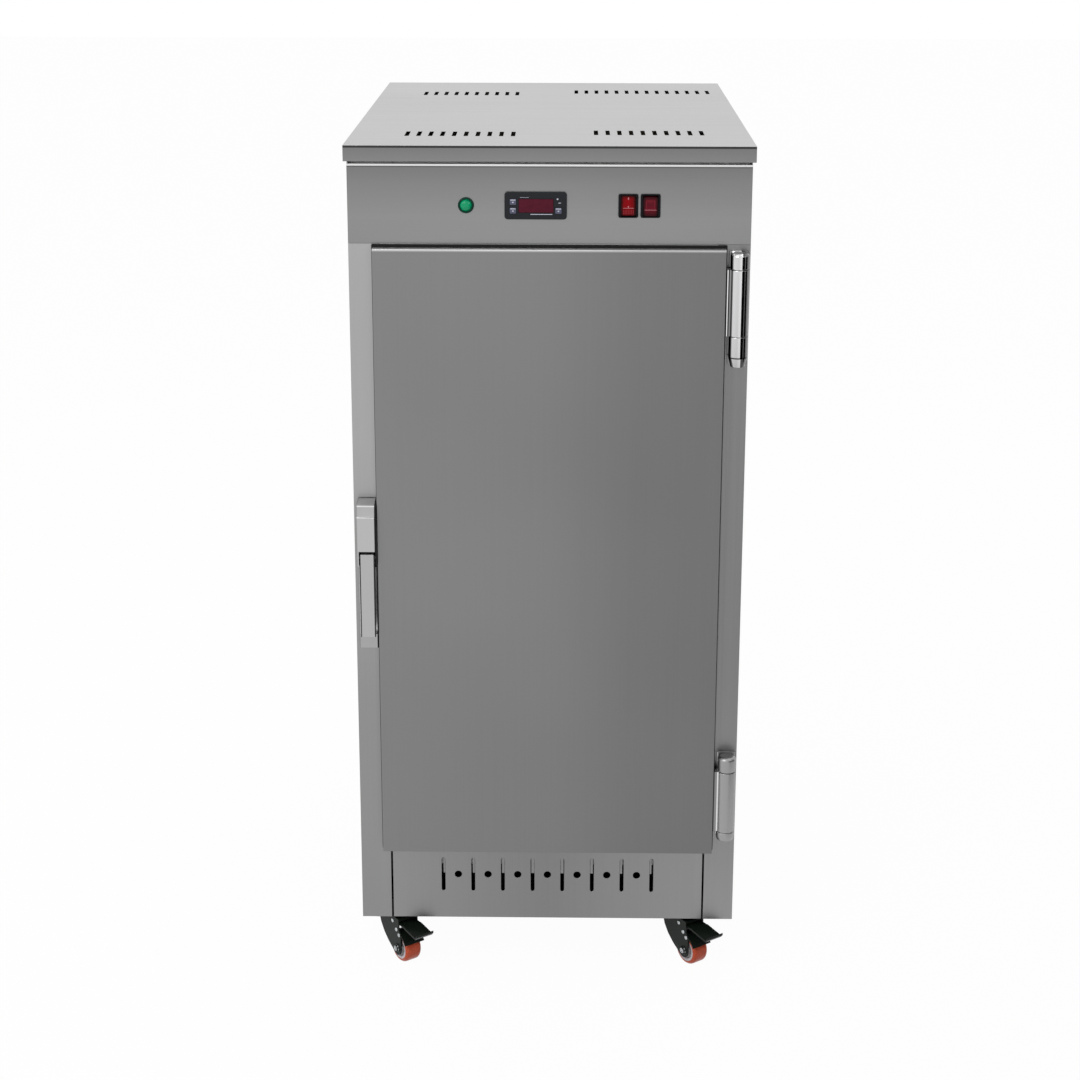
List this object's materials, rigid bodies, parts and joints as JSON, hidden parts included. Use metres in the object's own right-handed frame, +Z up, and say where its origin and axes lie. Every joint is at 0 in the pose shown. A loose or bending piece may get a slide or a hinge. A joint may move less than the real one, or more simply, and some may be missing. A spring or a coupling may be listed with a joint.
{
  "type": "gas food warmer cabinet",
  "caption": "Tall insulated stainless food warmer cabinet with a hinged latched door, control panel, racks and shelves, gas burner below the chamber, and swivel casters.",
  "frame": {"origin": "middle of the footprint on the floor, taken over everything including the hinges and the gas inlet", "axes": "+Z up, the door and the controls face -Y, +X is to the right of someone who faces the door"},
  "size_m": [0.508, 0.7594, 1.1184],
  "materials": {
    "lid_steel": "brushed",
    "panel_steel": "brushed",
    "fascia_steel": "brushed",
    "door_steel": "brushed",
    "liner_steel": "satin",
    "wire_chrome": "polished",
    "hinge_chrome": "polished",
    "hinge_satin": "satin",
    "latch_satin": "satin",
    "zinc_steel": "satin",
    "caster_paint": "satin",
    "brass": "satin",
    "cast_iron": "matte",
    "black_plastic": "matte",
    "charcoal_plastic": "matte",
    "lit_red_plastic": "gloss",
    "dark_red_plastic": "gloss",
    "green_lens": "gloss",
    "window_red": "gloss",
    "key_grey": "satin",
    "gasket_rubber": "matte",
    "mineral_wool": "matte",
    "ceramic": "satin",
    "orange_tread": "satin"
  },
  "bodies": {
    "cabinet": {"top_cover": "lid_steel", "base_frame": "zinc_steel", "side_panel_left": "panel_steel", "side_panel_right": "panel_steel", "lower_front_panel": "panel_steel", "air_shutter": "liner_steel", "back_panel": "panel_steel", "power_inlet": "black_plastic", "inner_liner": "liner_steel", "insulation_blanket": "mineral_wool", "insulation_back": "mineral_wool", "rack_left": "liner_steel", "rack_right": "liner_steel", "wire_shelf_1": "wire_chrome", "wire_shelf_2": "wire_chrome", "wire_shelf_3": "wire_chrome", "wire_shelf_4": "wire_chrome", "water_pan": "liner_steel", "temperature_probe": "wire_chrome", "burner_tube": "cast_iron", "burner_cradle": "zinc_steel", "flame_spreader": "liner_steel", "gas_inlet": "brass", "gas_valve": "brass", "gas_pipe": "brass", "ignition_box": "black_plastic", "ignition_electrode": "ceramic", "control_panel": "fascia_steel", "pilot_ring": "black_plastic", "pilot_lens": "green_lens", "thermostat_housing": "charcoal_plastic", "thermostat_window": "window_red", "switch_left_housing": "black_plastic", "switch_right_housing": "black_plastic", "hinge_top_frame_leaf": "hinge_chrome", "hinge_bottom_frame_leaf": "hinge_satin", "latch_keeper": "zinc_steel"},
    "door": {"door_skin": "door_steel", "door_liner": "liner_steel", "door_insulation": "mineral_wool", "door_gasket": "gasket_rubber", "hinge_top_door_leaf": "hinge_chrome", "hinge_bottom_door_leaf": "hinge_satin", "latch_body": "latch_satin"},
    "latch_lever": {"latch_lever": "latch_satin"},
    "rocker_left": {"switch_left_rocker": "lit_red_plastic"},
    "rocker_right": {"switch_right_rocker": "dark_red_plastic"},
    "key_up": {"thermostat_key_up": "key_grey"},
    "key_down": {"thermostat_key_down": "key_grey"},
    "key_set": {"thermostat_key_set": "key_grey"},
    "caster_front_left": {"caster_front_left_fork": "caster_paint"},
    "wheel_front_left": {"caster_front_left_wheel": "orange_tread"},
    "pedal_front_left": {"caster_front_left_brake_pedal": "caster_paint"},
    "caster_front_right": {"caster_front_right_fork": "caster_paint"},
    "wheel_front_right": {"caster_front_right_wheel": "orange_tread"},
    "pedal_front_right": {"caster_front_right_brake_pedal": "caster_paint"},
    "caster_rear_left": {"caster_rear_left_fork": "caster_paint"},
    "wheel_rear_left": {"caster_rear_left_wheel": "orange_tread"},
    "caster_rear_right": {"caster_rear_right_fork": "caster_paint"},
    "wheel_rear_right": {"caster_rear_right_wheel": "orange_tread"}
  },
  "joints": [
    {"name": "door_hinge", "type": "hinge", "parent": "cabinet", "child": "door", "pos_m": [0.236, -0.35912, 0.6], "axis": [0, 0, 1], "range_deg": [0, 115]},
    {"name": "latch_pull", "type": "hinge", "parent": "door", "child": "latch_lever", "pos_m": [-0.2318, -0.36512, 0.5915], "axis": [-1, 0, 0], "range_deg": [0, 30], "stiffness_Nm_per_rad": 0.5, "springref_deg": -11.46},
    {"name": "rocker_left_tip", "type": "hinge", "parent": "cabinet", "child": "rocker_left", "pos_m": [0.0976, -0.34362, 1.044], "axis": [1, 0, 0], "range_deg": [0, 16]},
    {"name": "rocker_right_tip", "type": "hinge", "parent": "cabinet", "child": "rocker_right", "pos_m": [0.125, -0.34362, 1.044], "axis": [1, 0, 0], "range_deg": [-16, 0]},
    {"name": "key_up_press", "type": "slide", "parent": "cabinet", "child": "key_up", "axis": [0, 1, 0], "range_m": [0, 0.0008], "stiffness_N_per_m": 150, "springref_m": -0.0008},
    {"name": "key_down_press", "type": "slide", "parent": "cabinet", "child": "key_down", "axis": [0, 1, 0], "range_m": [0, 0.0008], "stiffness_N_per_m": 150, "springref_m": -0.0008},
    {"name": "key_set_press", "type": "slide", "parent": "cabinet", "child": "key_set", "axis": [0, 1, 0], "range_m": [0, 0.0008], "stiffness_N_per_m": 150, "springref_m": -0.0008},
    {"name": "caster_front_left_swivel", "type": "hinge", "parent": "cabinet", "child": "caster_front_left", "pos_m": [-0.2055, -0.31512, 0.06], "axis": [0, 0, 1], "continuous": true},
    {"name": "caster_front_left_roll", "type": "hinge", "parent": "caster_front_left", "child": "wheel_front_left", "pos_m": [-0.19257, -0.33292, 0.021], "axis": [0.809, 0.5878, 0], "continuous": true},
    {"name": "caster_front_left_brake", "type": "hinge", "parent": "caster_front_left", "child": "pedal_front_left", "pos_m": [-0.19845, -0.32482, 0.0582], "axis": [0.809, 0.5878, 0], "range_deg": [0, 10]},
    {"name": "caster_front_right_swivel", "type": "hinge", "parent": "cabinet", "child": "caster_front_right", "pos_m": [0.1845, -0.31512, 0.06], "axis": [0, 0, 1], "continuous": true},
    {"name": "caster_front_right_roll", "type": "hinge", "parent": "caster_front_right", "child": "wheel_front_right", "pos_m": [0.19743, -0.33292, 0.021], "axis": [0.809, 0.5878, 0], "continuous": true},
    {"name": "caster_front_right_brake", "type": "hinge", "parent": "caster_front_right", "child": "pedal_front_right", "pos_m": [0.19155, -0.32482, 0.0582], "axis": [0.809, 0.5878, 0], "range_deg": [0, 10]},
    {"name": "caster_rear_left_swivel", "type": "hinge", "parent": "cabinet", "child": "caster_rear_left", "pos_m": [-0.2055, 0.32488, 0.06], "axis": [0, 0, 1], "continuous": true},
    {"name": "caster_rear_left_roll", "type": "hinge", "parent": "caster_rear_left", "child": "wheel_rear_left", "pos_m": [-0.19257, 0.30708, 0.021], "axis": [0.809, 0.5878, 0], "continuous": true},
    {"name": "caster_rear_right_swivel", "type": "hinge", "parent": "cabinet", "child": "caster_rear_right", "pos_m": [0.1845, 0.32488, 0.06], "axis": [0, 0, 1], "continuous": true},
    {"name": "caster_rear_right_roll", "type": "hinge", "parent": "caster_rear_right", "child": "wheel_rear_right", "pos_m": [0.19743, 0.30708, 0.021], "axis": [0.809, 0.5878, 0], "continuous": true}
  ]
}
